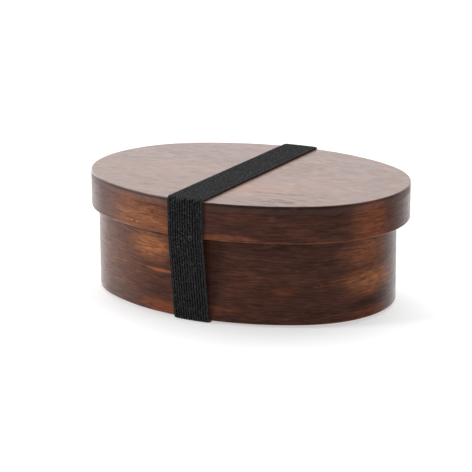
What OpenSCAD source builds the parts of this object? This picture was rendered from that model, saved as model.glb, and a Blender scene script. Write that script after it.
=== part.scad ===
// Oval bentwood lunch box: a body and a lift-off lid, each a bent strip with a flat board,
// a loose divider inside, and an elastic band that holds the lid down.
// +X runs along the box, +Y to its back, +Z up. The origin is on the surface that the box
// stands on, under the middle of the lid.

/* [Lid] */
// Length of the lid, end to end
lid_length = 175; // [165:1:190]
// Width of the lid, side to side
lid_width = 131; // [124:1:138]
// Height of the lid, from its lower edge to its top face
lid_height = 19.3; // [17:0.1:24]
// Radius of the outline's ends, as a share of half the width
end_roundness = 0.87; // [0.8:0.01:0.9]
// Thickness of the lid's bent rim
rim_thickness = 3.2; // [2.6:0.1:3.6]
// Thickness of the lid's top board
top_board_thickness = 4.2; // [3:0.1:5]
// How far the lid sits towards +X of the body, within its loose fit
lid_shift = 1.8; // [0:0.1:1.8]

/* [Body] */
// Height of the closed box, from the body's lower edge to the lid's top face
box_height = 63.3; // [58:0.1:75]
// Thickness of the body's bent wall
wall_thickness = 4; // [3:0.1:5]
// Loose gap between the lid's rim and the body's wall
lid_gap = 2.1; // [2.1:0.1:2.6]
// Thickness of the base board
base_board_thickness = 5; // [4:0.1:7]
// How far the base board sits up inside the wall's lower edge
base_recess = 0.4; // [0:0.1:1]
// Depth of the rebate that the base board is let into
rebate_depth = 2; // [1:0.1:2.5]

/* [Edges] */
// Radius of the eased edges
edge_ease = 0.9; // [0.4:0.1:1.2]

/* [Lap joints] */
// Distance from the middle of the back to the outer end of each bent strip
lap_start = 22; // [18:1:26]
// Length of each lap
lap_length = 33; // [26:1:36]
// How far the outer end of the strip stands proud
lap_step = 0.8; // [0.3:0.1:0.9]
// Length of one bark stitch on the outside
stitch_length = 8; // [6:0.5:10]
// Height of the bark strip
bark_width = 2.4; // [1.6:0.1:2.8]
// Thickness of the bark strip
bark_thickness = 0.4; // [0.3:0.1:0.4]
// Number of bark stitches in the body
body_stitches = 5; // [3:1:6]
// Number of bark stitches in the lid's rim
rim_stitches = 2; // [1:1:2]

/* [Divider] */
// Distance from the middle of the body to the divider's panel, towards -X
divider_offset = 18; // [5:1:30]
// Height of the divider
divider_height = 40; // [30:1:42]
// Thickness of the divider's boards
divider_thickness = 4; // [3:0.1:5]
// Length of the divider's foot
foot_length = 30; // [20:1:40]

/* [Elastic band] */
// Width of the elastic
band_width = 20; // [15:1:25]
// Thickness of the elastic
band_thickness = 1.2; // [1:0.1:1.5]
// Distance from the middle of the lid to the middle of the band, towards -X
band_offset = 1.7; // [0:0.1:6]
// How far the band is turned from square across the box, in degrees
band_skew = 1.38; // [0:0.01:2]
// Length of the sewn overlap
overlap_length = 16; // [10:1:18]

/* [Hidden] */
$fn = 120;
dark_wood = [0.30, 0.17, 0.13];
pale_wood = [0.62, 0.42, 0.28];
bark = [0.22, 0.10, 0.07];
elastic = [0.10, 0.10, 0.11];
thread = [0.05, 0.05, 0.06];

// Gaps that keep the solids apart: between bodies, in a glue line, and beside the band
clear = 0.2;
glue = 0.05;
band_ease = 0.3;
ease_steps = 4;

// Heights
body_z = band_thickness + clear;
lid_top_z = body_z + box_height;
board_under_z = lid_top_z - top_board_thickness;
lid_low_z = lid_top_z - lid_height;
wall_top_z = board_under_z - clear;
base_low_z = body_z + base_recess;
floor_z = base_low_z + base_board_thickness;

// Outlines: half length, half width and end radius, each made smaller by an inset
lid_outline = [lid_length / 2, lid_width / 2, end_roundness * lid_width / 2];
body_inset = rim_thickness + lid_gap;
body_x = -lid_shift;
function inset(outline, by) = [outline[0] - by, outline[1] - by, outline[2] - by];
body_outline = inset(lid_outline, body_inset);
inner_outline = inset(body_outline, wall_thickness);

// The outline is four arcs: two ends of its end radius, and two flatter sides that meet them smoothly
function end_centre(o) = o[0] - o[2];
function side_radius(o) = (pow(end_centre(o), 2) + o[1] * o[1] - o[2] * o[2]) / (2 * (o[1] - o[2]));
function end_turn(o) = atan2(side_radius(o) - o[1], end_centre(o));
// Half width of an outline at a distance x from its middle, along its flatter sides
function half_width_at(o, x) = sqrt(pow(side_radius(o), 2) - x * x) - side_radius(o) + o[1];
function arc_degrees(length, radius) = length / radius * 180 / PI;

// Points of a quarter round, for a corner of an outline
function quarter(x, y, radius, start) = [
    for (i = [0 : ease_steps])
        let (t = start + 90 * i / ease_steps)
        [x + radius * cos(t), y + radius * sin(t)]
];

// The outline itself: the sides' arcs run just past the places where the ends' arcs take over
module oval(o) {
    back = side_radius(o) - o[1];
    sides_reach = end_centre(o) + o[2] * cos(end_turn(o)) + 1.5;
    for (x = [-1, 1])
        translate([x * end_centre(o), 0])
            circle(o[2]);
    intersection() {
        translate([0, -back]) circle(side_radius(o));
        translate([0, back]) circle(side_radius(o));
        square([2 * sides_reach, 4 * o[1]], center = true);
    }
}

module oval_prism(o, z0, z1) {
    translate([0, 0, z0])
        linear_extrude(z1 - z0)
            oval(o);
}

// A solid oval whose lower and upper edges are eased by low and high, in fine steps
module eased_oval(o, z0, z1, low, high) {
    for (i = [0 : ease_steps]) {
        t = 90 * i / ease_steps;
        oval_prism(inset(o, max(low, high) * (1 - cos(t))), z0 + low * (1 - sin(t)), z1 - high * (1 - sin(t)));
    }
}

// A block along the back of an outline, bent to its curve: x0 and x1 are its faces, measured out
// from the outline, and from and to are distances along the back from its middle, towards -X
module back_block(o, x0, x1, from, to, z0, z1) {
    radius = side_radius(o);
    translate([0, o[1] - radius, 0])
        rotate_extrude(angle = arc_degrees(to - from, radius), start = 90 + arc_degrees(from, radius))
            translate([radius + x0, z0]) square([x1 - x0, z1 - z0]);
}

// Tilts its children about the inner end of the lap, so that a layer flush with the outline there
// stands proud by lap_step at the strip's outer end
module lap_tilt(o) {
    radius = side_radius(o);
    turn = arc_degrees(lap_start + lap_length, radius);
    pivot = [-radius * sin(turn), o[1] - radius + radius * cos(turn), 0];
    translate(pivot)
        rotate([0, 0, arc_degrees(lap_step, lap_length)])
            translate(-pivot)
                children();
}

// The strip's outer end, lapped over the wall. Its inner end is thinned away almost to nothing.
module lap_layer(o, z0, z1) {
    feather = 0.05;
    lap_tilt(o)
        back_block(o, -1.5, feather, lap_start, lap_start + lap_length, z0 + edge_ease, z1 - edge_ease);
}

// Where the stitches run: their two ends along the back, and how proud the lap is there
stitch_near = lap_start + 4;
stitch_far = stitch_near + stitch_length;
proud = lap_step * (lap_length - 4) / lap_length;
function stitch_z(low, high, count, i) = low + (high - low) * (i + 0.5) / count;

// The two legs of one stitch, through a wall of the given thickness; grown makes their slots
module stitch_legs(o, thickness, z, grown = 0) {
    for (at = [stitch_near, stitch_far - 1])
        back_block(o, -thickness - proud - bark_thickness - grown, bark_thickness + grown,
                   at - grown, at + 1 + grown, z - bark_width / 2 - grown, z + bark_width / 2 + grown);
}

module stitch_slots(o, thickness, low, high, count) {
    lap_tilt(o)
        for (i = [0 : count - 1])
            stitch_legs(o, thickness, stitch_z(low, high, count, i), glue);
}

// One strip of bark: it shows as a row of level stitches outside and as upright ones inside
module bark_strip(o, thickness, low, high, count) {
    lap_tilt(o)
        for (i = [0 : count - 1]) {
            z = stitch_z(low, high, count, i);
            back_block(o, glue, bark_thickness, stitch_near, stitch_far, z - bark_width / 2, z + bark_width / 2);
            stitch_legs(o, thickness, z);
        }
    for (i = [0 : 1 : count - 2]) {
        at = i % 2 == 0 ? stitch_near : stitch_far - 1;
        back_block(o, -thickness - bark_thickness, -thickness - glue, at - 0.5, at + 1.5,
                   stitch_z(low, high, count, i), stitch_z(low, high, count, i + 1));
    }
}

// ---- Body ----

body_stitch_low = body_z + 5;
body_stitch_high = lid_low_z - 1;

module body_wall() {
    rebate_outline = inset(body_outline, wall_thickness - rebate_depth);
    color(dark_wood)
        translate([body_x, 0, 0])
            difference() {
                union() {
                    eased_oval(body_outline, body_z, wall_top_z, edge_ease, edge_ease);
                    lap_layer(body_outline, body_z, wall_top_z);
                }
                oval_prism(inner_outline, body_z - 1, wall_top_z + 1);
                oval_prism(rebate_outline, body_z - 1, floor_z);
                stitch_slots(body_outline, wall_thickness, body_stitch_low, body_stitch_high, body_stitches);
            }
}

module base_board() {
    color(dark_wood)
        translate([body_x, 0, 0])
            oval_prism(inset(body_outline, wall_thickness - rebate_depth + glue), base_low_z, floor_z);
}

module body_bark_stitching() {
    color(bark)
        translate([body_x, 0, 0])
            bark_strip(body_outline, wall_thickness, body_stitch_low, body_stitch_high, body_stitches);
}

// ---- Lid ----

module lid_rim() {
    color(dark_wood)
        difference() {
            union() {
                eased_oval(lid_outline, lid_low_z, board_under_z, edge_ease, 0);
                lap_layer(lid_outline, lid_low_z, board_under_z);
            }
            oval_prism(inset(lid_outline, rim_thickness), lid_low_z - 1, board_under_z + 1);
            stitch_slots(lid_outline, rim_thickness, lid_low_z, board_under_z, rim_stitches);
        }
}

module lid_top_board() {
    color(dark_wood)
        eased_oval(lid_outline, board_under_z, lid_top_z, 0, edge_ease);
}

module lid_bark_stitching() {
    color(bark)
        bark_strip(lid_outline, rim_thickness, lid_low_z, board_under_z, rim_stitches);
}

// ---- Divider ----

divider_low_z = floor_z + clear;
groove_depth = 1.2;
divider_x = body_x - divider_offset;
divider_reach = half_width_at(inner_outline, divider_offset + divider_thickness / 2) - 0.5;

// An upright board in the YZ plane with its two upper corners rounded
module upright_board(half_length, height, thickness, corner) {
    rotate([90, 0, 90])
        linear_extrude(thickness, center = true)
            polygon(concat(
                [[-half_length, 0], [half_length, 0]],
                quarter(half_length - corner, height - corner, corner, 0),
                quarter(-half_length + corner, height - corner, corner, 90)
            ));
}

module divider_panel() {
    color(pale_wood)
        translate([divider_x, 0, divider_low_z])
            difference() {
                upright_board(divider_reach, divider_height, divider_thickness, 6);
                translate([divider_thickness / 2 - groove_depth, -divider_thickness / 2 - glue, -1])
                    cube([groove_depth + 1, divider_thickness + 2 * glue, divider_height + 2]);
            }
}

// The foot stands square to the panel and holds it upright
module divider_foot() {
    corner = 8;
    color(pale_wood)
        translate([divider_x + divider_thickness / 2 - groove_depth, 0, divider_low_z])
            rotate([90, 0, 0])
                linear_extrude(divider_thickness, center = true)
                    polygon(concat(
                        [[0, 0], [foot_length, 0]],
                        quarter(foot_length - corner, divider_height - corner, corner, 0),
                        [[0, divider_height]]
                    ));
}

// ---- Elastic band ----

// The band wraps the hull of the closed box: the body's lower edge, the lid's lower edge and its top
band_low_y = body_outline[1] + band_ease;
band_high_y = lid_outline[1] + band_ease;
band_lean = atan2(band_high_y - band_low_y, lid_low_z - body_z);
band_split_z = (body_z + lid_low_z) / 2;

function bend(y, z, radius, start, end) = [
    for (i = [0 : ease_steps])
        let (t = start + (end - start) * i / ease_steps)
        [y + radius * cos(t), z + radius * sin(t)]
];

// The closed line that lies at a distance out from that hull
function band_line(out) = concat(
    bend(band_low_y, body_z, out, -90, -band_lean),
    bend(band_high_y, lid_low_z, out, -band_lean, 0),
    bend(band_high_y, lid_top_z, out, 0, 90),
    bend(-band_high_y, lid_top_z, out, 90, 180),
    bend(-band_high_y, lid_low_z, out, 180, 180 + band_lean),
    bend(-band_low_y, body_z, out, 180 + band_lean, 270)
);

// One layer of the elastic between two distances from the hull, cut to a window in Y and Z
module band_layer(inside, outside, y0, y1, z0, z1) {
    translate([-band_offset, 0, 0])
        rotate([0, 0, band_skew])
            rotate([90, 0, 90])
                linear_extrude(band_width, center = true)
                    intersection() {
                        difference() {
                            polygon(band_line(outside));
                            polygon(band_line(inside));
                        }
                        translate([y0, z0]) square([y1 - y0, z1 - z0]);
                    }
}

band_inside = clear;
band_outside = clear + band_thickness;
far = lid_width;
overlap_low_z = body_z + 4;
overlap_high_z = overlap_low_z + overlap_length;

module elastic_band_lower() {
    color(elastic) {
        band_layer(band_inside, band_outside, -far, far, -1, band_split_z - clear / 2);
        band_layer(band_outside - glue, band_outside + band_thickness, 0, far, overlap_low_z, overlap_high_z);
    }
}

module elastic_band_upper() {
    color(elastic)
        band_layer(band_inside, band_outside, -far, far, band_split_z + clear / 2, 2 * box_height);
}

// Two rows of thread across the sewn overlap
module band_seam_thread() {
    pitch = 3;
    length = 2.2;
    gauge = 0.4;
    count = floor((band_width - 3) / pitch);
    rise = [3, overlap_length - 2];
    color(thread)
        translate([-band_offset, 0, 0])
            rotate([0, 0, band_skew])
                translate([0, band_low_y, body_z])
                    rotate([-band_lean, 0, 0])
                        for (z = rise, i = [0 : count - 1])
                            translate([(i - (count - 1) / 2) * pitch - length / 2,
                                       band_outside + band_thickness, overlap_low_z - body_z + z])
                                cube([length, gauge, gauge]);
}

body_wall();
base_board();
body_bark_stitching();
lid_rim();
lid_top_board();
lid_bark_stitching();
divider_panel();
divider_foot();
elastic_band_lower();
elastic_band_upper();
band_seam_thread();
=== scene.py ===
import math

import bmesh
import bpy
import numpy as np
from mathutils import Matrix, Vector


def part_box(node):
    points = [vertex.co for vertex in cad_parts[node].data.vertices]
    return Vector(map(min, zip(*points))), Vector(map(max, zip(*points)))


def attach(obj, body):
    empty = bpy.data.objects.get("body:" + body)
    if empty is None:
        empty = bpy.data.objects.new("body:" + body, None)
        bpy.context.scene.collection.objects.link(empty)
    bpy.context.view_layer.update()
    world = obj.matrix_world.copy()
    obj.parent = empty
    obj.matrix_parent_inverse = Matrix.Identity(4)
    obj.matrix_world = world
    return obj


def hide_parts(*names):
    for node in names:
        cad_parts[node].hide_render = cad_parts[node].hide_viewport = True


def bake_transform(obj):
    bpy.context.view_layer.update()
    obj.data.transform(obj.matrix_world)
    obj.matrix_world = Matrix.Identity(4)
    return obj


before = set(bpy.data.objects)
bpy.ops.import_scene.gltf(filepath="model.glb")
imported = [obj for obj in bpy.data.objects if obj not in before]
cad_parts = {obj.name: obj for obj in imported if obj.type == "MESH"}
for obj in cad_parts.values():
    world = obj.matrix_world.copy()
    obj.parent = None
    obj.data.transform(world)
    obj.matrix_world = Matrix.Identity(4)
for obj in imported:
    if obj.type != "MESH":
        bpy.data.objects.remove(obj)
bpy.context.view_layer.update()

MM = 0.001

# The wood
END_ROUNDNESS = 0.87       # the radius of an oval's ends over its half width, as in the CAD
EASE = 0.9 * MM            # radius of the wood's eased edges
CRISP_EASE = 0.5 * MM      # and of the lid's top edge, which is left crisper
HAIRLINE = 0.08 * MM       # easing where two glued pieces meet flush
LAP_START = 22 * MM        # from the middle of the back to the strip's outer end
LAP_LENGTH = 33 * MM       # over which the strip's two ends lie on each other
LAP_STEP = 0.8 * MM        # how proud the strip's outer end stands of the layer below it
UNEVENNESS = 0.05 * MM     # of the hand-finished outer faces
STATION = 1.4 * MM         # spacing of the rings that are swept round an outline
SECTION_STEP = 2.2 * MM    # between the points along a straight side of a strip's section

# The elastic band
BAND_WIDTH = 20 * MM
BAND_THICKNESS = 1.2 * MM
BAND_TAPER = 0.03          # how much narrower it is at the back than at the front
BAND_X = -1.7 * MM         # where its middle crosses the box's middle line
BAND_SKEW = math.radians(1.38)  # how far it is turned from square across the box
RIB_PITCH = 1.43 * MM
RIB_HEIGHT = 0.22 * MM
HUG = 0.12 * MM            # gap between the elastic and the wood that it presses on

rim_low, rim_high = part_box("lid_rim")
board_low, board_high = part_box("lid_top_board")
wall_low, wall_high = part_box("body_wall")
base_low, base_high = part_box("base_board")
panel_low, panel_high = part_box("divider_panel")
foot_low, foot_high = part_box("divider_foot")
body_lace_low, body_lace_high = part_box("body_bark_stitching")
thread_low, thread_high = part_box("band_seam_thread")

RIM_THICKNESS = 3.2 * MM
WALL_THICKNESS = 4 * MM
REBATE_DEPTH = 2 * MM


# ---------------------------------------------------------------- outlines

class Oval:
    """An outline of four arcs: two ends of radius r, and two flatter sides of radius big.

    a and b are its half length and half width. Distance along it starts at the middle of the back and
    runs towards -X.
    """

    def __init__(self, x, a, b, r):
        self.x, self.a, self.b, self.r = x, a, b, r
        self.c = a - r
        self.big = (self.c ** 2 + b ** 2 - r ** 2) / (2 * (b - r))
        turn = math.atan2(self.big - b, self.c)
        self.side = self.big * (math.pi / 2 - turn)
        self.end = r * 2 * turn
        self.length = 4 * self.side + 2 * self.end

    def inside(self, low, high):
        """The outline parallel to this one whose two ends are at low.x and high.x."""
        by = self.a - (high.x - low.x) / 2
        return Oval((low.x + high.x) / 2, self.a - by, self.b - by, self.r - by)

    def at(self, s):
        """The point at distance s and the outward normal there."""
        s = s % self.length
        half = self.length / 2
        flip = -1 if s >= half else 1
        s = s % half
        if s < self.side:
            t = math.pi / 2 + s / self.big
            centre, radius = (0.0, self.b - self.big), self.big
        elif s < self.side + self.end:
            t = math.pi / 2 + self.side / self.big + (s - self.side) / self.r
            centre, radius = (-self.c, 0.0), self.r
        else:
            t = 3 * math.pi / 2 - (half - s) / self.big
            centre, radius = (0.0, self.big - self.b), self.big
        nx, ny = math.cos(t), math.sin(t)
        x, y = centre[0] + radius * nx, centre[1] + radius * ny
        return (self.x + flip * x, flip * y), (flip * nx, flip * ny)

    def half_width_at(self, x):
        """Half width at a world x along the flatter sides."""
        return math.sqrt(self.big ** 2 - (x - self.x) ** 2) - self.big + self.b


lid_oval = Oval((board_low.x + board_high.x) / 2, (board_high.x - board_low.x) / 2, board_high.y,
                END_ROUNDNESS * board_high.y)
body_oval = lid_oval.inside(wall_low, wall_high)
base_oval = lid_oval.inside(base_low, base_high)


# ---------------------------------------------------------------- meshes

def finish_mesh(name, bm, body, material, replaced):
    """Turns a bmesh into a piece that stands for its CAD nodes and rides on its body. The elastic's pieces
    are given no body."""
    bmesh.ops.recalc_face_normals(bm, faces=bm.faces)
    mesh = bpy.data.meshes.new(name)
    bm.to_mesh(mesh)
    bm.free()
    piece = bpy.data.objects.new(name, mesh)
    bpy.context.scene.collection.objects.link(piece)
    mesh.polygons.foreach_set("use_smooth", [True] * len(mesh.polygons))
    mesh.materials.append(material)
    if body:
        weighted = piece.modifiers.new("even shading", "WEIGHTED_NORMAL")
        weighted.keep_sharp = True
        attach(piece, body)
    if replaced:
        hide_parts(*replaced)
    return piece


def corner(x, y, radius, start, steps=4):
    """Points of a quarter round about (x, y), from the angle start, in degrees."""
    out = []
    for i in range(steps + 1):
        t = math.radians(start + 90 * i / steps)
        out.append((x + radius * math.cos(t), y + radius * math.sin(t)))
    return out


def divided(points, spacing):
    """A closed line's points with more of them along its long straight stretches."""
    out = []
    for i, (x0, y0) in enumerate(points):
        x1, y1 = points[(i + 1) % len(points)]
        parts = max(1, round(math.hypot(x1 - x0, y1 - y0) / spacing))
        for k in range(parts):
            t = k / parts
            out.append((x0 + (x1 - x0) * t, y0 + (y1 - y0) * t))
    return out


def add_ring(bm, layer, points, grain):
    """New points, each with its place in the grain or weave written to layer."""
    ring = []
    for p, g in zip(points, grain):
        v = bm.verts.new(p)
        v[layer] = g
        ring.append(v)
    return ring


def join_rings(bm, first, second):
    """Faces all the way round between two rings of as many points."""
    n = len(first)
    for i in range(n):
        j = (i + 1) % n
        bm.faces.new((first[i], first[j], second[j], second[i]))


def waver(s, z):
    """The slight unevenness of a hand-finished surface: three waves whose lengths share no measure."""
    wave = math.sin(s / 0.0213 + 1.3)
    wave += 0.7 * math.sin(s / 0.0091 + z / 0.013)
    wave += 0.5 * math.sin(z / 0.007 + s / 0.031)
    return UNEVENNESS * wave / 2.2


def lap_rise(s):
    """How proud the bent strip's outer face is at a distance s from its outer end."""
    round_over = 0.35 * MM
    if s >= LAP_LENGTH:
        return 0.0
    rise = LAP_STEP * (1 - s / LAP_LENGTH)
    if s < round_over:
        return rise * math.sqrt(1 - (1 - s / round_over) ** 2)
    return rise


def strip_stations(length):
    """Distances of a strip's rings from its outer end: close together over its rounded end, then even."""
    near = [0.0, 0.02 * MM, 0.06 * MM, 0.13 * MM, 0.22 * MM, 0.35 * MM, 0.7 * MM]
    last = length - 0.05 * MM
    count = round((last - near[-1]) / STATION)
    return near + list(np.linspace(near[-1], last, count + 1)[1:])


def bent_strip(name, oval, section, thickness, body, material, replaced):
    """A strip of wood bent round an outline.

    section is its closed section as (depth, height) points: depth is 0 on the outline and less inside it.
    The grain attribute is (distance along the strip, depth, height).
    """
    bm = bmesh.new()
    layer = bm.verts.layers.float_vector.new("grain")
    section = divided(section, SECTION_STEP)
    rings = []
    for s in strip_stations(oval.length):
        (px, py), (nx, ny) = oval.at(LAP_START + s)
        rise = lap_rise(s)
        points, grain = [], []
        for u, z in section:
            outer = min(1.0, max(0.0, 1 + u / (0.5 * thickness)))
            out = u + outer * (rise + waver(s, z))
            points.append((px + nx * out, py + ny * out, z))
            grain.append((s, u, z))
        rings.append(add_ring(bm, layer, points, grain))
    for first, second in zip(rings, rings[1:] + rings[:1]):
        join_rings(bm, first, second)
    return finish_mesh(name, bm, body, material, replaced)


def oval_board(name, oval, z0, z1, low, high, body, material, replaced):
    """A flat board that fills an outline, its edges eased by low and high. Its grain runs along X."""
    bm = bmesh.new()
    layer = bm.verts.layers.float_vector.new("grain")
    edge = corner(-low, z0 + low, low, 270)
    edge += [(0, z0 + (z1 - z0) * t) for t in (0.35, 0.65)]
    edge += corner(-high, z1 - high, high, 0)
    # The flat faces are rings too: parallel to the outline near it, then smaller copies of the last one.
    insets = [1.6 * MM, 3 * MM, 6 * MM, 10 * MM, 15 * MM]
    shrinks = [0.8, 0.6, 0.4, 0.2, 0.08]
    path = [(-i, z0) for i in reversed(insets)] + edge + [(-i, z1) for i in insets]
    count = round(oval.length / STATION)
    stations = [oval.at(oval.length * k / count) for k in range(count)]

    def ring(u, z, scale=1.0):
        points = []
        for (px, py), (nx, ny) in stations:
            points.append((oval.x + (px + nx * u - oval.x) * scale, (py + ny * u) * scale, z))
        return add_ring(bm, layer, points, points)

    rings = [ring(-insets[-1], z0, k) for k in reversed(shrinks)]
    rings += [ring(u, z) for u, z in path]
    rings += [ring(-insets[-1], z1, k) for k in shrinks]
    for first, second in zip(rings, rings[1:]):
        join_rings(bm, first, second)
    for ends, z in ((rings[0], z0), (rings[-1], z1)):
        middle = bm.verts.new((oval.x, 0, z))
        middle[layer] = (oval.x, 0, z)
        for i in range(count):
            bm.faces.new((ends[i], ends[(i + 1) % count], middle))
    return finish_mesh(name, bm, body, material, replaced)


SANDED_EDGE = 0.6 * MM     # width of the divider's rounded edges


def upright_board(name, outline, normal_axis, middle, thickness, body, material, replaced):
    """A flat upright board: its outline is (along, height) points, and its thickness is along normal_axis."""
    bm = bmesh.new()
    layer = bm.verts.layers.float_vector.new("grain")
    sides = []
    for side in (-0.5, 0.5):
        across = middle + side * thickness
        ring = []
        for along, height in outline:
            p = (across, along, height) if normal_axis == "x" else (along, across, height)
            ring.append(bm.verts.new(p))
        sides.append(ring)
    bm.faces.new(sides[0])
    bm.faces.new(list(reversed(sides[1])))
    join_rings(bm, sides[0], sides[1])
    bmesh.ops.recalc_face_normals(bm, faces=bm.faces)
    sharp = [e for e in bm.edges if len(e.link_faces) == 2 and e.calc_face_angle() > math.radians(40)]
    bmesh.ops.bevel(bm, geom=sharp, offset=SANDED_EDGE, segments=3, profile=0.5, affect="EDGES")
    for v in bm.verts:
        v[layer] = (v.co.y, v.co.x, v.co.z) if normal_axis == "x" else v.co
    return finish_mesh(name, bm, body, material, replaced)


# ---------------------------------------------------------------- materials

class Shader:
    """Short ways to make and join the nodes of one material."""

    def __init__(self, name):
        self.material = bpy.data.materials.new(name)
        self.material.use_nodes = True
        self.tree = self.material.node_tree
        self.tree.nodes.clear()
        self.surface = self.tree.nodes.new("ShaderNodeBsdfPrincipled")
        out = self.tree.nodes.new("ShaderNodeOutputMaterial")
        self.tree.links.new(self.surface.outputs[0], out.inputs[0])

    def put(self, socket, value):
        """Joins a socket to another one, or sets it to a number or colour."""
        if isinstance(value, bpy.types.NodeSocket):
            self.tree.links.new(value, socket)
        else:
            socket.default_value = value

    def math(self, operation, a, b=0.0, clamp=False):
        node = self.tree.nodes.new("ShaderNodeMath")
        node.operation = operation
        node.use_clamp = clamp
        self.put(node.inputs[0], a)
        self.put(node.inputs[1], b)
        return node.outputs[0]

    def add(self, a, b):
        return self.math("ADD", a, b)

    def minus(self, a, b):
        return self.math("SUBTRACT", a, b)

    def times(self, a, b):
        return self.math("MULTIPLY", a, b)

    def clamped(self, value):
        """value, but never below 0 or above 1."""
        return self.math("ADD", value, 0.0, clamp=True)

    def vector(self, operation, a, b=(0, 0, 0)):
        node = self.tree.nodes.new("ShaderNodeVectorMath")
        node.operation = operation
        self.put(node.inputs[0], a)
        self.put(node.inputs[1], b)
        return node.outputs["Value" if operation == "LENGTH" else "Vector"]

    def attribute(self, name):
        node = self.tree.nodes.new("ShaderNodeAttribute")
        node.attribute_name = name
        return node.outputs["Vector"]

    def split(self, vector):
        node = self.tree.nodes.new("ShaderNodeSeparateXYZ")
        self.put(node.inputs[0], vector)
        return node.outputs

    def joined(self, x, y, z):
        node = self.tree.nodes.new("ShaderNodeCombineXYZ")
        for socket, value in zip(node.inputs, (x, y, z)):
            self.put(socket, value)
        return node.outputs[0]

    def noise(self, vector, sizes, detail=2.0, roughness=0.5, seed=0.0):
        """Noise whose features are about sizes long in metres along the vector's three directions."""
        stretched = self.vector("MULTIPLY", vector, tuple(1 / x for x in sizes))
        moved = self.vector("ADD", stretched, (seed * 7.3, seed * 3.1, seed * 5.7))
        node = self.tree.nodes.new("ShaderNodeTexNoise")
        self.put(node.inputs["Vector"], moved)
        node.inputs["Scale"].default_value = 1.0
        node.inputs["Detail"].default_value = detail
        node.inputs["Roughness"].default_value = roughness
        return node.outputs[0]

    def scale(self, colour, factor):
        """The colour made lighter or darker by a factor."""
        node = self.tree.nodes.new("ShaderNodeVectorMath")
        node.operation = "SCALE"
        self.put(node.inputs[0], colour)
        self.put(node.inputs["Scale"], factor)
        return node.outputs[0]

    def ramp(self, value, low, high, out_low=0.0, out_high=1.0):
        """value from low to high becomes out_low to out_high, smoothly."""
        node = self.tree.nodes.new("ShaderNodeMapRange")
        node.interpolation_type = "SMOOTHSTEP"
        self.put(node.inputs["Value"], value)
        for key, number in (("From Min", low), ("From Max", high), ("To Min", out_low), ("To Max", out_high)):
            self.put(node.inputs[key], number)
        return node.outputs[0]

    def mix(self, factor, a, b):
        """Colour a where factor is 0, and colour b where it is 1."""
        node = self.tree.nodes.new("ShaderNodeMix")
        node.data_type = "RGBA"
        self.put(node.inputs["Factor"], factor)
        for key, colour in (("A", a), ("B", b)):
            socket = [s for s in node.inputs if s.name == key and s.type == "RGBA"][0]
            self.put(socket, (*colour, 1.0) if isinstance(colour, tuple) else colour)
        return [s for s in node.outputs if s.type == "RGBA"][0]

    def bump(self, height, distance, strength=1.0, normal=None):
        node = self.tree.nodes.new("ShaderNodeBump")
        self.put(node.inputs["Height"], height)
        node.inputs["Distance"].default_value = distance
        node.inputs["Strength"].default_value = strength
        if normal is not None:
            self.put(node.inputs["Normal"], normal)
        return node.outputs[0]

    def patch(self, vector, centre, size):
        """1 at centre, falling to 0 at size away from it along each direction."""
        away = self.vector("SUBTRACT", vector, centre)
        scaled = self.vector("DIVIDE", away, size)
        return self.ramp(self.vector("LENGTH", scaled), 0.15, 1.0, 1.0, 0.0)


# Stain colours, from the darkest lacquered wood to where the stain is thin
DARK = (0.030, 0.0095, 0.0060)
BROWN = (0.076, 0.0260, 0.0165)
WARM = (0.290, 0.098, 0.032)
RED = (0.230, 0.048, 0.014)


def strip_lines(sh, x, y, z, seed):
    """Level growth lines of a bent strip, which wander only slightly and are the same at every depth y."""
    wander = sh.noise(sh.joined(x, 0.0, z), (0.060, 1, 0.020), 2.0, 0.5, seed)
    return sh.add(z, sh.times(wander, 0.0035))


def board_lines(sh, x, y, z, seed):
    """Growth rings round a heart that runs along the board, a little aslant, below its underside."""
    wander = sh.noise(sh.joined(x, y, z), (0.090, 0.035, 0.035), 2.0, 0.5, seed)
    radius = sh.vector("LENGTH", sh.joined(0.0, sh.minus(y, 0.018), sh.add(z, 0.005)))
    slanted = sh.add(radius, sh.times(x, 0.035))
    return sh.add(slanted, sh.times(wander, 0.005))


class WoodNoises:
    """The noises that the look of one kind of wood is made from, all fixed in its grain attribute."""

    def __init__(self, sh, lines, pore_size, seed):
        self.grain = sh.attribute("grain")
        x, y, self.height = sh.split(self.grain)
        line = lines(sh, x, y, self.height, seed + 1)
        level = sh.joined(x, 0.0, line)
        deep = sh.joined(x, y, line)
        self.broad = sh.noise(level, (0.055, 1, 0.0042), 2.0, 0.5, seed + 2)
        self.streaks = sh.noise(level, (0.0100, 1, 0.00060), 3.0, 0.6, seed + 3)
        self.fibres = sh.noise(deep, (0.0080, 0.01, 0.00040), 2.0, 0.6, seed + 4)
        self.blotch = sh.noise(self.grain, (0.026, 0.020, 0.010), 3.0, 0.55, seed + 5)
        self.mottle = sh.noise(self.grain, (0.0040, 0.0040, 0.0022), 3.0, 0.6, seed + 6)
        self.ruddy = sh.noise(self.grain, (0.014, 0.010, 0.0035), 2.0, 0.6, seed + 7)
        self.pores = sh.noise(deep, pore_size, 2.0, 0.6, seed + 8)
        self.rolling = sh.noise(self.grain, (0.024, 0.020, 0.012), 1.0, 0.4, seed + 9)


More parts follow.
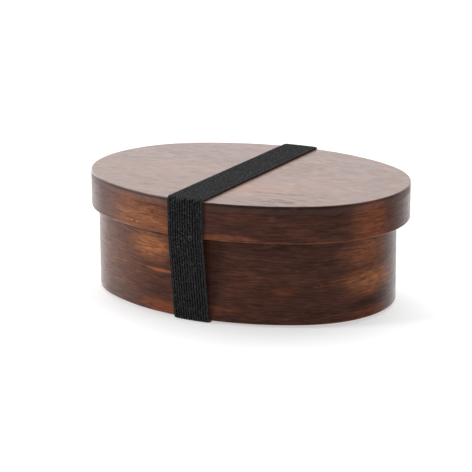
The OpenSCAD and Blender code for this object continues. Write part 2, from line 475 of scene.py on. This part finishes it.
def stain(sh, wood, patches, edges, lift, figure):
    """How thin the stain is at each place, and how red. Along the edges it makes lines lighter or darker, and
    painted highlights and painted shadow are among them.
    """
    thin = sh.ramp(wood.blotch, 0.50, 0.80, 0.0, 0.14 * figure)
    red = sh.ramp(wood.ruddy, 0.54, 0.78, 0.0, 0.16)
    specks = sh.ramp(wood.mottle, 0.30, 0.65, 0.80, 1.08)
    broken = sh.times(specks, sh.ramp(wood.streaks, 0.30, 0.65, 0.80, 1.10))
    for centre, size, strength, redness in patches:
        spot = sh.times(sh.patch(wood.grain, centre, size), broken)
        thin = sh.add(thin, sh.times(spot, strength))
        red = sh.add(red, sh.times(spot, redness))
    thin = sh.add(thin, sh.ramp(wood.broad, 0.35, 0.70, -0.05 * figure, 0.06 * figure))
    thin = sh.add(thin, lift)
    for height, half_width, strength in edges:
        near = sh.math("DIVIDE", sh.math("ABSOLUTE", sh.minus(wood.height, height)), half_width)
        uneven = sh.ramp(wood.blotch, 0.35, 0.6, 0.5, 1.0)
        thin = sh.add(thin, sh.times(sh.ramp(near, 0.2, 1.0, strength, 0.0), uneven))
    return thin, red


def stained_colour(sh, wood, thin, red, figure):
    """The stain's colour, with fine streaks and fibres that are darker and lighter."""
    colour = sh.mix(sh.clamped(thin), BROWN, WARM)
    colour = sh.mix(sh.ramp(thin, -0.45, -0.02, 0.9, 0.0), colour, DARK)
    colour = sh.mix(sh.clamped(red), colour, RED)
    coarse = sh.ramp(wood.streaks, 0.32, 0.68, 1 - 0.16 * figure, 1 + 0.16 * figure)
    fine = sh.ramp(wood.fibres, 0.32, 0.68, 1 - 0.34 * figure, 1 + 0.34 * figure)
    shade = sh.times(sh.times(coarse, fine), sh.ramp(wood.mottle, 0.30, 0.70, 0.93, 1.07))
    return sh.scale(colour, shade)


def pore_marks(sh, wood, pores, porous):
    """How strongly a pore's dark dash shows at each place."""
    shown = pores
    for centre, size, strength in porous:
        shown = sh.add(sh.times(sh.patch(wood.grain, centre, size), strength), shown)
    return sh.times(sh.ramp(wood.pores, 0.52, 0.64, 0.0, 1.0), shown)


def with_pin_knots(sh, wood, colour, seed):
    """The colour with a few pin knots in it, each dark with a paler ring."""
    cells = sh.tree.nodes.new("ShaderNodeTexVoronoi")
    cells.inputs["Scale"].default_value = 1.0
    spread = sh.vector("DIVIDE", wood.grain, (0.021, 0.021, 0.014))
    sh.put(cells.inputs["Vector"], sh.vector("ADD", spread, (seed, 0.3, seed)))
    from_middle = cells.outputs["Distance"]
    from_ring = sh.math("ABSOLUTE", sh.minus(from_middle, 0.10))
    colour = sh.scale(colour, sh.ramp(from_ring, 0.0, 0.05, 1.35, 1.0))
    return sh.mix(sh.ramp(from_middle, 0.015, 0.055, 0.85, 0.0), colour, DARK)


def lacquer(sh, wood, dashes, side, gloss):
    """The lacquer's roughness: duller in the pores, and on the side of a board."""
    along = sh.ramp(wood.streaks, 0.3, 0.7, gloss + 0.04, gloss - 0.03)
    rough = sh.add(along, sh.ramp(wood.mottle, 0.3, 0.7, -0.02, 0.04))
    if side is not None:
        rough = sh.add(rough, sh.times(side, 0.16))
    return sh.add(rough, sh.times(dashes, 0.30))


def wood_relief(sh, wood, dashes):
    """The normal: a surface that rolls slightly, with sunk pores and raised fibres."""
    hollows = sh.add(sh.times(dashes, -0.7), sh.times(wood.fibres, 0.5))
    hollows = sh.add(hollows, sh.times(wood.streaks, 0.5))
    rolled = sh.bump(wood.rolling, 0.0006, 0.35)
    return sh.bump(hollows, 0.00010, 0.35, rolled)


def stained_wood(name, lines=strip_lines, patches=(), edges=(), porous=(), lift=0.0, figure=1.0, pores=0.35,
                 pore_size=(0.0085, 0.003, 0.00034), gloss=0.31, ior=1.38, side_below=None, seed=0.0):
    """Dark stained and lacquered wood.

    lines gives the growth lines, and figure is how strongly the grain shows. lift thins the stain everywhere.
    patches are (centre, size, strength, redness) where it is thin, or dark if strength is less than 0.
    edges are (height, half width, strength), the same along a whole edge. pores is how dark the pores are,
    and porous are (centre, size, strength) where they are darker. Below the height side_below, which is a
    board's side, lift isn't applied and the lacquer is dull.
    """
    sh = Shader(name)
    wood = WoodNoises(sh, lines, pore_size, seed)
    side = None
    if side_below:
        side = sh.ramp(wood.height, side_below - 0.3 * MM, side_below + 0.2 * MM, 1.0, 0.0)
        lift = sh.minus(lift, sh.times(side, lift))
    thin, red = stain(sh, wood, patches, edges, lift, figure)
    dashes = pore_marks(sh, wood, pores, porous)
    colour = sh.mix(dashes, stained_colour(sh, wood, thin, red, figure), DARK)
    sh.put(sh.surface.inputs["Base Color"], with_pin_knots(sh, wood, colour, seed))
    sh.put(sh.surface.inputs["Roughness"], lacquer(sh, wood, dashes, side, gloss))
    sh.put(sh.surface.inputs["Normal"], wood_relief(sh, wood, dashes))
    sh.surface.inputs["IOR"].default_value = ior
    return sh.material


ELASTIC_STITCH = 1.25 * MM     # length of one stitch along a rib
ELASTIC_BLACK = (0.0004, 0.0004, 0.0005)
# the lighter crests of the weave: painted light
ELASTIC_LIT_CREST = (0.0220, 0.0220, 0.0250)
# bright specks: painted sparkle of the yarn
ELASTIC_SPARKLE = (0.105, 0.105, 0.115)
ELASTIC_EDGE = (0.045, 0.045, 0.05)


def ribbed_elastic():
    """Black woven elastic. The weave attribute is (across, along, layer)."""
    sh = Shader("ribbed_elastic")
    weave = sh.attribute("weave")
    across, along, _ = sh.split(weave)
    # Each rib is a column of small slanted stitches. The 50 keeps the ribs' count above 0.
    rib = sh.math("DIVIDE", across, RIB_PITCH)
    counted = sh.add(rib, 50.0)
    slant = sh.math("ABSOLUTE", sh.minus(sh.math("FRACT", counted), 0.5))
    turn = sh.add(sh.times(along, 2 * math.pi / ELASTIC_STITCH), sh.times(slant, 5.0))
    stitch = sh.math("SINE", sh.add(turn, sh.times(sh.math("FLOOR", counted), 2.4)))
    yarn = sh.noise(weave, (0.00035, 0.0008, 0.001), 2.0, 0.7, 3)
    sparkle = sh.noise(weave, (0.00040, 0.00060, 0.001), 1.0, 0.5, 5)
    crest = sh.math("COSINE", sh.times(rib, 2 * math.pi))
    height = sh.add(sh.times(stitch, 0.50), sh.times(crest, 0.55))
    height = sh.add(height, sh.times(yarn, 0.9))
    # The crests of the ribs and stitches are lighter and the hollows near black: painted shade in the weave's
    # hollows.
    colour = sh.mix(sh.ramp(height, 0.1, 1.3), ELASTIC_BLACK, ELASTIC_LIT_CREST)
    # Sparse bright specks over the weave: painted sparkle.
    colour = sh.mix(sh.ramp(sparkle, 0.58, 0.70, 0.0, 0.85), colour, ELASTIC_SPARKLE)
    half = BAND_WIDTH / 2
    edge = sh.ramp(sh.math("ABSOLUTE", across), half - 1.0 * MM, half - 0.3 * MM, 0.0, 0.5)
    sh.put(sh.surface.inputs["Base Color"], sh.mix(edge, colour, ELASTIC_EDGE))
    sh.put(sh.surface.inputs["Roughness"], sh.ramp(yarn, 0.3, 0.7, 0.75, 0.95))
    sh.put(sh.surface.inputs["Normal"], sh.bump(height, 0.00034, 1.0))
    sh.surface.inputs["IOR"].default_value = 1.26
    sh.surface.inputs["Sheen Weight"].default_value = 0.03
    sh.surface.inputs["Sheen Roughness"].default_value = 0.4
    return sh.material


def sewing_thread():
    sh = Shader("sewing_thread")
    where = sh.attribute("weave")
    twist = sh.noise(where, (0.0003, 0.0003, 0.0003), 2.0, 0.6, 2)
    sh.put(sh.surface.inputs["Base Color"], sh.mix(twist, (0.02, 0.02, 0.022), (0.07, 0.07, 0.075)))
    sh.put(sh.surface.inputs["Roughness"], sh.ramp(twist, 0.3, 0.7, 0.4, 0.6))
    sh.put(sh.surface.inputs["Normal"], sh.bump(twist, 0.0001, 0.6))
    return sh.material


def bark_strip():
    """Thin strips of polished bark, with the pale level marks of cherry bark."""
    sh = Shader("bark")
    grain = sh.attribute("grain")
    marks = sh.noise(grain, (0.0035, 0.002, 0.0003), 2.0, 0.6, 4)
    tone = sh.noise(grain, (0.006, 0.004, 0.002), 2.0, 0.5, 7)
    colour = sh.mix(sh.ramp(tone, 0.3, 0.7), (0.040, 0.013, 0.009), (0.105, 0.034, 0.019))
    colour = sh.mix(sh.ramp(marks, 0.60, 0.70, 0.0, 0.6), colour, (0.20, 0.10, 0.06))
    sh.put(sh.surface.inputs["Base Color"], colour)
    sh.put(sh.surface.inputs["Roughness"], sh.ramp(marks, 0.4, 0.7, 0.30, 0.5))
    sh.put(sh.surface.inputs["Normal"], sh.bump(marks, 0.00015, 0.6))
    return sh.material


# ---------------------------------------------------------------- wooden pieces

def strip_section(thickness, z0, z1, low, high, inner_low, inner_high):
    """The section of a bent strip, its corners eased."""
    points = corner(-thickness + inner_low, z0 + inner_low, inner_low, 180)
    points += corner(-low, z0 + low, low, 270)
    points += corner(-high, z1 - high, high, 0)
    points += corner(-thickness + inner_high, z1 - inner_high, inner_high, 90)
    return points


def wall_section():
    """The body wall's section, with the rebate that the base board is let into."""
    ledge_z = base_high.z
    inner = -WALL_THICKNESS
    nick = 0.2 * MM
    points = corner(inner + REBATE_DEPTH + nick, wall_low.z + nick, nick, 180, 2)
    points += corner(-EASE, wall_low.z + EASE, EASE, 270)
    points += corner(-EASE, wall_high.z - EASE, EASE, 0)
    points += corner(inner + EASE, wall_high.z - EASE, EASE, 90)
    points += [(inner, ledge_z), (inner + REBATE_DEPTH, ledge_z)]
    return points


PATCH_DEPTH = 3 * MM       # how far a patch on a bent strip goes into the wood
TOP_PATCH_DEPTH = 20 * MM  # and one on the lid's top, which takes in the board's whole thickness


def strip_patch(s, height, half_length, half_height, strength, redness):
    """A patch on a bent strip, at a distance s from its outer end."""
    return (s, 0, height), (half_length, PATCH_DEPTH, half_height), strength, redness


def top_patch(x, y, half_length, half_width):
    """The centre and size of a patch on the lid's top."""
    return (x, y, board_high.z), (half_length, half_width, TOP_PATCH_DEPTH)


def board_side_patch(s, reach, strength, redness):
    """A patch on the side of the lid's board, at a distance s from the rim strip's outer end."""
    (x, y), _ = lid_oval.at(LAP_START + s)
    return (x, y, board_low.z + 1.2 * MM), (reach, reach, 3.8 * MM), strength, redness


RIM_PATCHES = (
    strip_patch(0.190, 0.052, 0.036, 0.014, 0.65, 0.0),
    strip_patch(0.214, 0.049, 0.020, 0.006, 0.30, 0.2),
    strip_patch(0.319, 0.053, 0.016, 0.018, 0.38, 0.50),
    strip_patch(0.245, 0.047, 0.022, 0.003, 0.40, 0.2),
)
WALL_PATCHES = (
    strip_patch(0.181, 0.036, 0.021, 0.010, 1.00, 0.0),
    strip_patch(0.187, 0.024, 0.012, 0.0014, 1.10, 0.6),
    strip_patch(0.155, 0.025, 0.040, 0.030, 0.15, 0.0),
    strip_patch(0.188, 0.005, 0.022, 0.005, 0.35, 0.5),
    strip_patch(0.303, 0.021, 0.027, 0.010, 0.85, 0.0),
    strip_patch(0.300, 0.036, 0.024, 0.010, 0.60, 0.1),
    strip_patch(0.306, 0.005, 0.028, 0.004, 0.20, 0.2),
    strip_patch(0.304, 0.010, 0.026, 0.003, -0.30, 0.0),
    strip_patch(0.256, 0.019, 0.009, 0.003, 0.12, 0.4),
    strip_patch(0.222, 0.008, 0.014, 0.003, 0.12, 0.3),
)
BOARD_PATCHES = (
    (*top_patch(0.020, -0.030, 0.036, 0.026), 0.35, 0.0),
    (*top_patch(0.045, -0.008, 0.030, 0.020), 0.15, 0.0),
    (*top_patch(-0.045, -0.010, 0.050, 0.030), 0.12, 0.0),
    (*top_patch(-0.026, 0.022, 0.026, 0.015), -0.20, 0.10),
    (*top_patch(-0.012, 0.014, 0.016, 0.012), -0.12, 0.08),
    board_side_patch(0.190, 0.034, 0.45, 0.0),
    board_side_patch(0.319, 0.016, 0.28, 0.45),
)
BOARD_PORES = (
    (*top_patch(0.044, -0.042, 0.036, 0.026), 0.50),
    (*top_patch(-0.030, -0.050, 0.040, 0.016), 0.12),
)
# Lines along the edges: (height, half width, how thin the stain is, or dark where it is below 0). They are
# painted highlights and painted shadow, and darker lines on the lid board.
RIM_EDGE_HIGHLIGHT = (
    # a painted highlight along the lid rim's lower edge
    (rim_low.z, 1.0 * MM, 0.50),
)
BOARD_EDGES = (
    # darker just below the lid board's top edge, and a little darker low on its side
    (board_high.z - 0.8 * MM, 1.0 * MM, -0.90),
    (board_low.z + 1.2 * MM, 3.0 * MM, -0.05),
)
WALL_EDGE_HIGHLIGHT_AND_SHADOW = (
    # a painted highlight along the wall's lower edge
    (wall_low.z, 1.2 * MM, 0.40),
    # a painted shadow on the wall just under the lid's lower edge
    (rim_low.z - 0.5 * MM, 1.4 * MM, -0.35),
)

lid_wood = stained_wood("lid_rim_wood", patches=RIM_PATCHES, edges=RIM_EDGE_HIGHLIGHT, seed=2.0)
board_wood = stained_wood("lid_board_wood", board_lines, BOARD_PATCHES, BOARD_EDGES, BOARD_PORES, lift=0.38,
                          figure=0.45, pores=0.04, pore_size=(0.013, 0.02, 0.0015), ior=1.5,
                          side_below=board_high.z - CRISP_EASE, seed=11.0)
body_wood = stained_wood("body_wood", patches=WALL_PATCHES, edges=WALL_EDGE_HIGHLIGHT_AND_SHADOW, seed=23.0)
base_wood = stained_wood("base_wood", board_lines, lift=0.15, figure=0.7, gloss=0.40, seed=31.0)
divider_wood = stained_wood("divider_wood", lift=0.12, gloss=0.40, seed=47.0)

bent_strip("lid_rim_strip", lid_oval,
           strip_section(RIM_THICKNESS, rim_low.z, rim_high.z, EASE, HAIRLINE, EASE, HAIRLINE),
           RIM_THICKNESS, "lid", lid_wood, ["lid_rim"])
oval_board("lid_board", lid_oval, board_low.z, board_high.z, HAIRLINE, CRISP_EASE,
           "lid", board_wood, ["lid_top_board"])
bent_strip("body_wall_strip", body_oval, wall_section(),
           WALL_THICKNESS, "box", body_wood, ["body_wall"])
oval_board("base", base_oval, base_low.z, base_high.z, HAIRLINE, HAIRLINE,
           "box", base_wood, ["base_board"])

PANEL_CORNER = 6 * MM
FOOT_CORNER = 8 * MM


def panel_outline():
    """The divider's panel: its two top corners are rounded."""
    inset = PANEL_CORNER
    points = [(panel_low.y, panel_low.z), (panel_high.y, panel_low.z)]
    points += corner(panel_high.y - inset, panel_high.z - inset, inset, 0, 8)
    points += corner(panel_low.y + inset, panel_high.z - inset, inset, 90, 8)
    return points


def foot_outline():
    """The divider's foot: only its far top corner is rounded."""
    inset = FOOT_CORNER
    points = [(foot_low.x, foot_low.z), (foot_high.x, foot_low.z)]
    points += corner(foot_high.x - inset, foot_high.z - inset, inset, 0, 8)
    points += [(foot_low.x, foot_high.z)]
    return points


upright_board("divider_across", panel_outline(), "x", (panel_low.x + panel_high.x) / 2,
              panel_high.x - panel_low.x, "divider", divider_wood, ["divider_panel"])
upright_board("divider_brace", foot_outline(), "y", 0.0, foot_high.y - foot_low.y,
              "divider", divider_wood, ["divider_foot"])


# ---------------------------------------------------------------- bark stitches

STITCH_NEAR = 4 * MM       # from the strip's outer end to where its stitches start
STITCH_LENGTH = 8 * MM
STITCH_STEPS = 14          # rings along one stitch
BARK_WIDTH = 2.4 * MM
BARK_THICKNESS = 0.4 * MM
INNER_SHARE = 0.8          # the inside stitches' width and thickness over the outside ones'
BODY_STITCHES = 5
RIM_STITCHES = 2


def ribbon(bm, layer, path, width_axis, width, thickness):
    """A thin strip along path, a list of (point, outward direction). width_axis is its width's direction."""
    rings = []
    w = Vector(width_axis) * width / 2
    for k, (p, out) in enumerate(path):
        t = Vector(out) * thickness
        p = Vector(p)
        shape = [p - w, p - w * 0.9 + t * 0.8, p + t, p + w * 0.9 + t * 0.8, p + w, p]
        grain = [(k * 0.5 * MM + q.x, q.y, q.z) for q in shape]
        rings.append(add_ring(bm, layer, shape, grain))
    for first, second in zip(rings, rings[1:]):
        join_rings(bm, first, second)
    bm.faces.new(rings[0])
    bm.faces.new(list(reversed(rings[-1])))


def stitch_path(oval, start, end, side, surface, proud, dive):
    """A stitch between two places (s, height) on one side of a wall: 1 is outside, and -1 is inside.

    surface(s) is how far that side's face is from the outline. The stitch stands proud of it, and dives
    into the wood at both ends.
    """
    path = []
    for k in range(STITCH_STEPS + 1):
        t = k / STITCH_STEPS
        s = start[0] + (end[0] - start[0]) * t
        z = start[1] + (end[1] - start[1]) * t
        (px, py), (nx, ny) = oval.at(LAP_START + s)
        out = side * (surface(s) + proud - dive * abs(2 * t - 1) ** 6)
        path.append(((px + nx * out, py + ny * out, z), (side * nx, side * ny, 0)))
    return path


def bark_lacing(name, oval, thickness, low, high, count, body, replaced):
    """Level stitches outside, which dive into the wall at both ends, and upright ones inside."""
    bm = bmesh.new()
    layer = bm.verts.layers.float_vector.new("grain")
    heights = [low + (high - low) * (i + 0.5) / count for i in range(count)]
    near, far = STITCH_NEAR, STITCH_NEAR + STITCH_LENGTH
    for z in heights:
        path = stitch_path(oval, (near, z), (far, z), 1, lap_rise, 0.12 * MM, 0.7 * MM)
        ribbon(bm, layer, path, (0, 0, 1), BARK_WIDTH, BARK_THICKNESS)
    # The upright ones lie just inside the holes, near and far in turn.
    for i in range(count - 1):
        s = near + 0.5 * MM if i % 2 == 0 else far - 0.5 * MM
        start, end = (s, heights[i]), (s, heights[i + 1])
        path = stitch_path(oval, start, end, -1, lambda _: thickness, 0.05 * MM, 0.6 * MM)
        _, (nx, ny) = oval.at(LAP_START + s)
        ribbon(bm, layer, path, (-ny, nx, 0), BARK_WIDTH * INNER_SHARE, BARK_THICKNESS * INNER_SHARE)
    return finish_mesh(name, bm, body, bark, replaced)


bark = bark_strip()
stitch_pitch = (body_lace_high.z - body_lace_low.z - BARK_WIDTH) / (BODY_STITCHES - 1)
laced_low = body_lace_low.z + BARK_WIDTH / 2 - stitch_pitch / 2
laced_high = body_lace_high.z - BARK_WIDTH / 2 + stitch_pitch / 2
bark_lacing("body_lacing", body_oval, WALL_THICKNESS, laced_low, laced_high, BODY_STITCHES, "box",
            ["body_bark_stitching"])
bark_lacing("lid_lacing", lid_oval, RIM_THICKNESS, rim_low.z, rim_high.z, RIM_STITCHES, "lid",
            ["lid_bark_stitching"])


# ---------------------------------------------------------------- elastic band

LID_EDGE_Z = rim_low.z
LID_TOP_Z = board_high.z
BODY_LOW_Z = wall_low.z


def across_band(x, oval):
    """Distances (back, front) along the band's own length at which its column x crosses an outline."""
    c, s = math.cos(BAND_SKEW), math.sin(BAND_SKEW)
    found = []
    for side in (1, -1):
        y = side * oval.b
        # Each pass follows the outline's curve more closely, and four are plenty.
        for _ in range(4):
            row_x = BAND_X + x * c - y * s
            y = (side * oval.half_width_at(row_x) - x * s) / c
        found.append(y)
    return found


def band_lean():
    """How far from upright the band's back runs at its middle, below the lid."""
    back_low, _ = across_band(0.0, body_oval)
    back_high, _ = across_band(0.0, lid_oval)
    return math.atan2(back_high - back_low, LID_EDGE_Z - BODY_LOW_Z)


def band_corners(x):
    """The rounded corners that column x of the band bends over: (y, z, radius, first angle, last angle)."""
    back_low, front_low = across_band(x, body_oval)
    back_high, front_high = across_band(x, lid_oval)
    rise = LID_EDGE_Z - BODY_LOW_Z
    lean_back = math.atan2(back_high - back_low, rise)
    lean_front = math.atan2(front_low - front_high, rise)
    quarter = math.pi / 2
    return [
        (back_low - EASE, BODY_LOW_Z + EASE, EASE, -quarter, -lean_back),
        (back_high - EASE, LID_EDGE_Z + EASE, EASE, -lean_back, 0),
        (back_high - CRISP_EASE, LID_TOP_Z - CRISP_EASE, CRISP_EASE, 0, quarter),
        (front_high + CRISP_EASE, LID_TOP_Z - CRISP_EASE, CRISP_EASE, quarter, 2 * quarter),
        (front_high + EASE, LID_EDGE_Z + EASE, EASE, 2 * quarter, 2 * quarter + lean_front),
        (front_low + EASE, BODY_LOW_Z + EASE, EASE, 2 * quarter + lean_front, 3 * quarter),
    ]


# Steps round each corner, and along the straight run that follows it
BEND_STEPS = (6, 2, 8, 8, 2, 6)
RUN_STEPS = (22, 10, 64, 10, 22, 60)


def band_column(x, out):
    """Points (y, z) of the closed line round the box at a distance out from the wood, for column x."""
    corners = band_corners(x)
    points = []
    for i, (y, z, radius, first, last) in enumerate(corners):
        for k in range(BEND_STEPS[i] + 1):
            t = first + (last - first) * k / BEND_STEPS[i]
            points.append((y + (radius + out) * math.cos(t), z + (radius + out) * math.sin(t)))
        from_y, from_z = points[-1]
        next_y, next_z, next_radius, t, _ = corners[(i + 1) % len(corners)]
        to_y = next_y + (next_radius + out) * math.cos(t)
        to_z = next_z + (next_radius + out) * math.sin(t)
        for k in range(1, RUN_STEPS[i]):
            share = k / RUN_STEPS[i]
            points.append((from_y + (to_y - from_y) * share, from_z + (to_z - from_z) * share))
    return points


def band_point(x, y, z):
    """From the band's own frame to the row frame. The elastic draws in a little towards the back."""
    c, s = math.cos(BAND_SKEW), math.sin(BAND_SKEW)
    x *= 1 - BAND_TAPER * (0.5 + 0.5 * y / lid_oval.b)
    return (BAND_X + x * c - y * s, x * s + y * c, z)


def elastic_profile():
    """Across the elastic: (x, how thick it is there), with ribs and rounded edges."""
    out = []
    points_per_rib = 8
    count = points_per_rib * round(BAND_WIDTH / RIB_PITCH)
    for k in range(count + 1):
        x = BAND_WIDTH * (k / count - 0.5)
        rib = RIB_HEIGHT * (0.5 + 0.5 * math.cos(2 * math.pi * x / RIB_PITCH))
        from_edge = (BAND_WIDTH / 2 - abs(x)) / (0.5 * MM)
        edge = 1.0 if from_edge >= 1 else 0.45 + 0.55 * math.sqrt(1 - (1 - from_edge) ** 2)
        out.append((x, (BAND_THICKNESS - RIB_HEIGHT + rib) * edge))
    return out


def along_lengths(points):
    """The distance of each point along the line from the first."""
    total, out = 0.0, [0.0]
    for (y0, z0), (y1, z1) in zip(points, points[1:]):
        total += math.hypot(y1 - y0, z1 - z0)
        out.append(total)
    return out


def elastic_mesh(base_out, keep=None):
    """The elastic as a closed solid: a loop round the box, or only the stretch whose points keep accepts."""
    bm = bmesh.new()
    layer = bm.verts.layers.float_vector.new("weave")
    middle = band_column(0.0, base_out)
    lengths = along_lengths(middle)
    chosen = [i for i, p in enumerate(middle) if keep is None or keep(p)]
    columns = []
    for x, thick in elastic_profile():
        inner = band_column(x, base_out)
        outer = band_column(x, base_out + thick)
        columns.append((x, inner, outer))
    rings = []
    for i in chosen:
        inner = [band_point(x, *line[i]) for x, line, _ in columns]
        outer = [band_point(x, *line[i]) for x, _, line in columns]
        weave = [(x, lengths[i], 0) for x, _, _ in columns]
        ring = add_ring(bm, layer, inner + outer[::-1], weave + weave[::-1])
        rings.append(ring)
    for first, second in zip(rings, rings[1:]):
        join_rings(bm, first, second)
    if keep is None:
        join_rings(bm, rings[-1], rings[0])
    else:
        bm.faces.new(rings[0])
        bm.faces.new(list(reversed(rings[-1])))
    return bm


# The stretch of the back that is doubled and sewn
OVERLAP_LOW = thread_low.z - 2.5 * MM
OVERLAP_HIGH = thread_high.z + 2 * MM


def in_overlap(point):
    y, z = point
    return y > 0 and OVERLAP_LOW < z < OVERLAP_HIGH


THREAD_PITCH = 2.4 * MM
THREAD_STITCH = 1.9 * MM   # length of one stitch
THREAD_GAUGE = 0.32 * MM
THREAD_STEPS = 8           # along one stitch, and round it
THREAD_MARGIN = 1 * MM     # between the stitches and the elastic's edge


def thread_ring(x, height, out, swell):
    """Points round one section of a stitch, at column x. swell is 0 at the stitch's ends and 1 halfway."""
    back = [p for p in band_column(x, out) if p[0] > 0]
    y, z = min(back, key=lambda p: abs(p[1] - height))
    y += (z - height) * math.tan(band_lean())
    ring = []
    for j in range(THREAD_STEPS):
        a = 2 * math.pi * j / THREAD_STEPS
        size = 0.35 + 0.65 * swell
        dy = THREAD_GAUGE * (0.6 * swell - 0.3 + 0.5 * math.cos(a) * size)
        dz = THREAD_GAUGE * 0.5 * math.sin(a) * size
        ring.append(band_point(x, y + dy, height + dz))
    return ring


def thread_mesh():
    """Two rows of stitches across the sewn overlap: each is a short round bulge of thread."""
    bm = bmesh.new()
    layer = bm.verts.layers.float_vector.new("weave")
    count = int((BAND_WIDTH - 2 * THREAD_MARGIN) / THREAD_PITCH)
    out = HUG + 2 * BAND_THICKNESS
    for height in (thread_low.z + 0.3 * MM, thread_high.z - 0.3 * MM):
        for i in range(count):
            middle = (i - (count - 1) / 2) * THREAD_PITCH
            rings = []
            for k in range(THREAD_STEPS + 1):
                t = k / THREAD_STEPS
                swell = math.sqrt(max(0.0, 1 - (2 * t - 1) ** 2))
                ring = thread_ring(middle + (t - 0.5) * THREAD_STITCH, height, out, swell)
                rings.append(add_ring(bm, layer, ring, ring))
            for first, second in zip(rings, rings[1:]):
                join_rings(bm, first, second)
            bm.faces.new(rings[0])
            bm.faces.new(list(reversed(rings[-1])))
    return bm


def add_band():
    """The loop, its sewn overlap and the thread. None of the three rides on a body."""
    elastic = ribbed_elastic()
    overlap_out = HUG + BAND_THICKNESS + 0.02 * MM
    loop = finish_mesh("elastic_band", elastic_mesh(HUG), None, elastic,
                       ["elastic_band_lower", "elastic_band_upper"])
    lap = finish_mesh("elastic_overlap", elastic_mesh(overlap_out, in_overlap), None, elastic, [])
    thread = finish_mesh("seam_thread", thread_mesh(), None, sewing_thread(), ["band_seam_thread"])
    for piece in (loop, lap, thread):
        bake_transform(piece)


add_band()


# ---------------------------------------------------------------- studio

FLOOR_SIZE = 80            # metres, so that no low view reaches past it

CAMERA_AZIMUTH = math.radians(29.0)
CAMERA_ELEVATION = math.radians(15.4)
CAMERA_ROLL = math.radians(-0.28)
CAMERA_DISTANCE = 1.067
CAMERA_TARGET = Vector((0, 0, BODY_LOW_Z + 30 * MM))
CAMERA_LENS = 153.9        # millimetres, on a sensor 36 mm wide
CAMERA_SHIFT = (-0.0278, -0.0049)

# The backdrop's middle, how bright the studio is there and opposite, and the cosines of the angle from its
# middle between which it fades
BACKDROP_AZIMUTH = CAMERA_AZIMUTH + math.radians(9)
BRIGHT_SIDE = 1.74
DARK_SIDE = 0.03
BRIGHT_FROM = 0.95
DARK_FROM = -0.1


def add_floor():
    """A matt pale floor. It glows a little, so that it is near white from every side."""
    bpy.ops.mesh.primitive_plane_add(size=FLOOR_SIZE)
    floor = bpy.context.object
    floor.name = "floor"
    sh = Shader("pale_floor")
    sh.surface.inputs["Base Color"].default_value = (0.62, 0.62, 0.62, 1)
    sh.surface.inputs["Roughness"].default_value = 0.7
    sh.surface.inputs["Specular IOR Level"].default_value = 0
    sh.surface.inputs["Emission Color"].default_value = (1, 1, 1, 1)
    sh.surface.inputs["Emission Strength"].default_value = 0.51
    floor.data.materials.append(sh.material)
    floor.visible_glossy = False


def add_light(name, place, aim, width, height, power):
    """A soft lamp that the camera doesn't see. Its power is in watts."""
    data = bpy.data.lights.new(name, "AREA")
    data.shape = "RECTANGLE"
    data.size = width
    data.size_y = height
    data.energy = power
    light = bpy.data.objects.new(name, data)
    bpy.context.scene.collection.objects.link(light)
    light.location = place
    light.rotation_mode = "QUATERNION"
    light.rotation_quaternion = (Vector(aim) - Vector(place)).to_track_quat("-Z", "Y")
    light.visible_camera = False


def add_world():
    """A studio with a bright paper backdrop behind the object and darkness in front of it."""
    world = bpy.data.worlds.new("studio")
    world.use_nodes = True
    tree = world.node_tree
    place = tree.nodes.new("ShaderNodeTexCoord")
    dot = tree.nodes.new("ShaderNodeVectorMath")
    dot.operation = "DOT_PRODUCT"
    dot.inputs[1].default_value = (-math.sin(BACKDROP_AZIMUTH), math.cos(BACKDROP_AZIMUTH), 0)
    tree.links.new(place.outputs["Generated"], dot.inputs[0])
    ramp = tree.nodes.new("ShaderNodeMapRange")
    ramp.interpolation_type = "SMOOTHSTEP"
    ramp.inputs["From Min"].default_value = DARK_FROM
    ramp.inputs["From Max"].default_value = BRIGHT_FROM
    ramp.inputs["To Min"].default_value = DARK_SIDE
    ramp.inputs["To Max"].default_value = BRIGHT_SIDE
    tree.links.new(dot.outputs["Value"], ramp.inputs["Value"])
    background = tree.nodes["Background"]
    background.inputs["Color"].default_value = (1, 1, 1, 1)
    tree.links.new(ramp.outputs[0], background.inputs["Strength"])
    bpy.context.scene.world = world


def add_camera():
    """The photograph's viewpoint."""
    data = bpy.data.cameras.new("camera")
    data.sensor_width = 36
    data.lens = CAMERA_LENS
    data.shift_x, data.shift_y = CAMERA_SHIFT
    data.clip_start, data.clip_end = 0.05, 100
    camera = bpy.data.objects.new("camera", data)
    bpy.context.scene.collection.objects.link(camera)
    a, e = CAMERA_AZIMUTH, CAMERA_ELEVATION
    back = Vector((math.sin(a) * math.cos(e), -math.cos(a) * math.cos(e), math.sin(e)))
    right = Vector((math.cos(a), math.sin(a), 0))
    up = back.cross(right)
    rolled_right = right * math.cos(CAMERA_ROLL) + up * math.sin(CAMERA_ROLL)
    rolled_up = up * math.cos(CAMERA_ROLL) - right * math.sin(CAMERA_ROLL)
    turn = Matrix((rolled_right, rolled_up, back)).transposed().to_4x4()
    camera.matrix_world = Matrix.Translation(CAMERA_TARGET + back * CAMERA_DISTANCE) @ turn
    bpy.context.scene.camera = camera


add_floor()
add_world()
add_light("overhead", (0.0, 0.35, 1.3), (0, 0, 0), 1.4, 1.2, 12)
add_light("left", (-1.25, -1.0, 0.6), (0, 0, 0.03), 0.5, 0.6, 19)
add_light("left_edge", (-1.4, 0.9, 0.3), (0, 0, 0.03), 0.9, 1.1, 7)
add_light("right", (1.6, 0.05, 0.5), (0, 0, 0.03), 0.7, 0.8, 6)
add_camera()
bpy.context.scene.view_settings.view_transform = "Standard"
